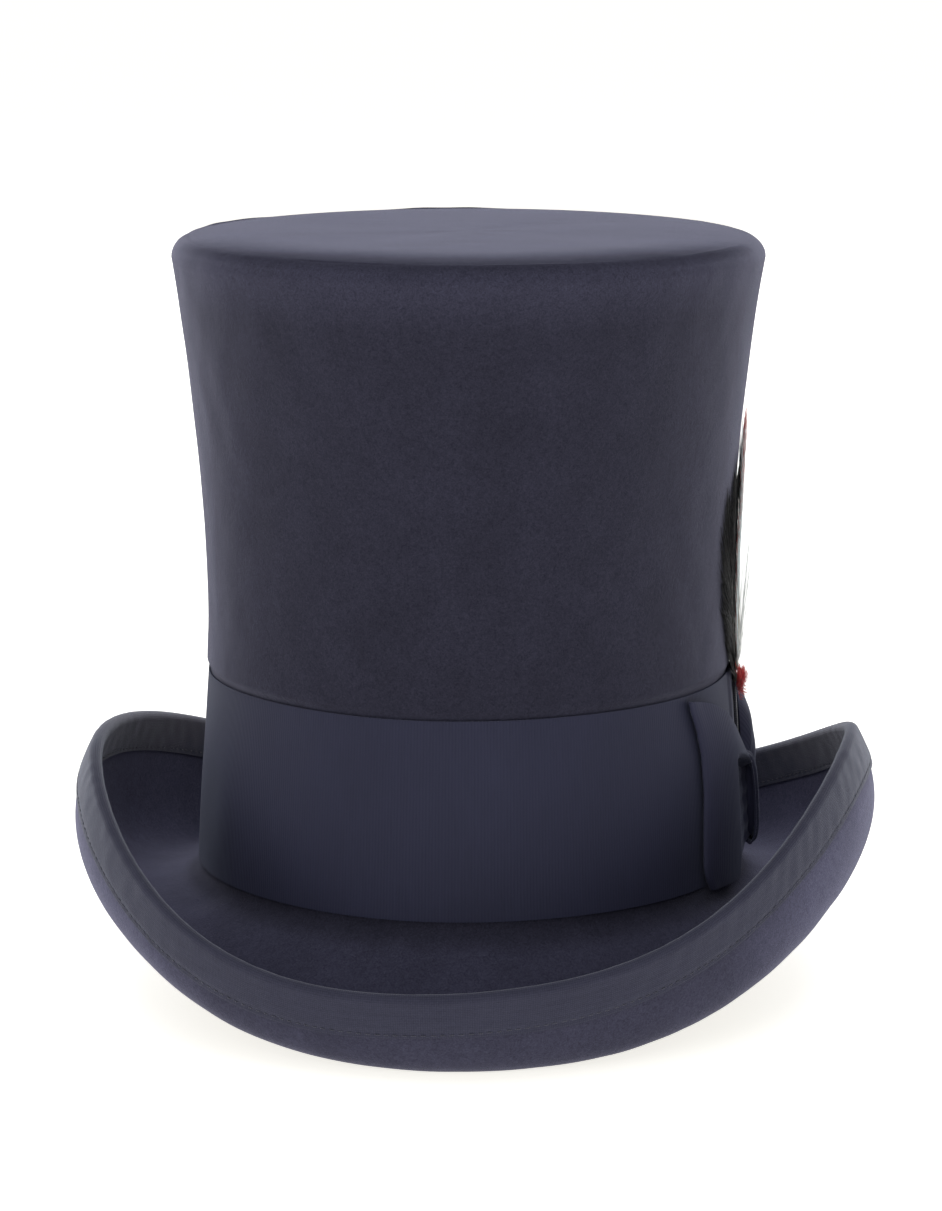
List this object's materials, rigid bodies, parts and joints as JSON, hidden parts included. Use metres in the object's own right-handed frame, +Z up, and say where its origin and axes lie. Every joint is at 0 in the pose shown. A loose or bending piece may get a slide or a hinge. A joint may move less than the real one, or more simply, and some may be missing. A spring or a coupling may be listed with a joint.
{
  "type": "top hat",
  "caption": "Tall felt top hat with a flared crown, curled bound brim, ribbon band with a side bow, lined inside, and a feather spray that draws out.",
  "frame": {"origin": "on the surface the hat stands on, below the middle of its crown", "axes": "+Z up through the crown, -Y towards the front of the hat, +X to the wearer's left, where the bow is"},
  "size_m": [0.2647, 0.3152, 0.243],
  "materials": {
    "navy_felt": "matte felt nap",
    "navy_binding": "matte felted binding",
    "navy_ribbon": "grosgrain ribbon, fine upright ribs",
    "spring_steel": "drawn wire",
    "brass": "crimped tube",
    "dark_leather": "smooth satin",
    "reed_plastic": "extruded",
    "navy_satin": "satin sheen",
    "patch_satin": "plain satin",
    "tag_cloth": "plain woven tape",
    "black_feather": "feather",
    "pale_feather": "feather",
    "red_feather": "feather",
    "red_down": "down",
    "white_barb": "stripped feather barb",
    "black_thread": "wound thread"
  },
  "bodies": {
    "hat": {"felt_body": "navy_felt", "brim_binding": "navy_binding", "brim_wire": "spring_steel", "wire_joiner": "brass", "hat_band": "navy_ribbon", "bow_front_loop": "navy_ribbon", "bow_rear_loop": "navy_ribbon", "bow_knot": "navy_ribbon", "sweatband": "dark_leather", "sweatband_reed": "reed_plastic", "sweatband_bow": "navy_ribbon", "size_tag": "tag_cloth", "lining_side": "navy_satin", "lining_tip": "navy_satin", "lining_patch": "patch_satin"},
    "feather_spray": {"quill_wrap": "black_thread", "feather_black": "black_feather", "feather_pale": "pale_feather", "feather_red": "red_feather", "red_fluff": "red_down", "filament_1": "white_barb", "filament_2": "white_barb", "filament_3": "white_barb"}
  },
  "joints": [
    {"name": "spray_draw", "type": "slide", "parent": "hat", "child": "feather_spray", "axis": [0.1478, 0, 0.989], "range_m": [0, 0.05]}
  ]
}
